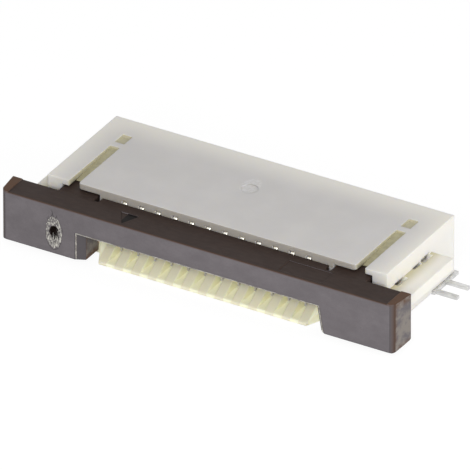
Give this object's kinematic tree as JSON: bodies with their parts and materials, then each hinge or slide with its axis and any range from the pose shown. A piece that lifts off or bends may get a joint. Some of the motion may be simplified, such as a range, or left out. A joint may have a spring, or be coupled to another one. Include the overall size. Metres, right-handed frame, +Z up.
{
  "type": "fpc connector",
  "caption": "Right-angle surface-mount FFC/FPC connector with a pull-out slider that clamps a flat flexible cable onto a row of stamped fork contacts.",
  "frame": {"origin": "centre of the whole connector's footprint, on the circuit board", "axes": "+X along the row of contacts from the marked first one, +Y the way the cable goes in, +Z up from the board"},
  "size_m": [0.0238, 0.01, 0.0036],
  "materials": {
    "housing": "off-white moulded thermoplastic, fine matt",
    "slider": "dark brown moulded thermoplastic with fibre streaks, satin",
    "contact": "stamped phosphor bronze, tin plated",
    "solder_tab": "stamped phosphor bronze, dull tin plated"
  },
  "bodies": {
    "housing": {"housing": "housing", "contact_01": "contact", "contact_02": "contact", "contact_03": "contact", "contact_04": "contact", "contact_05": "contact", "contact_06": "contact", "contact_07": "contact", "contact_08": "contact", "contact_09": "contact", "contact_10": "contact", "contact_11": "contact", "contact_12": "contact", "solder_tab_left": "solder_tab", "solder_tab_right": "solder_tab"},
    "slider": {"slider": "slider"}
  },
  "joints": [
    {"name": "slider_pull", "type": "slide", "parent": "housing", "child": "slider", "axis": [0, -1, 0], "range_m": [0, 0.0015]}
  ]
}
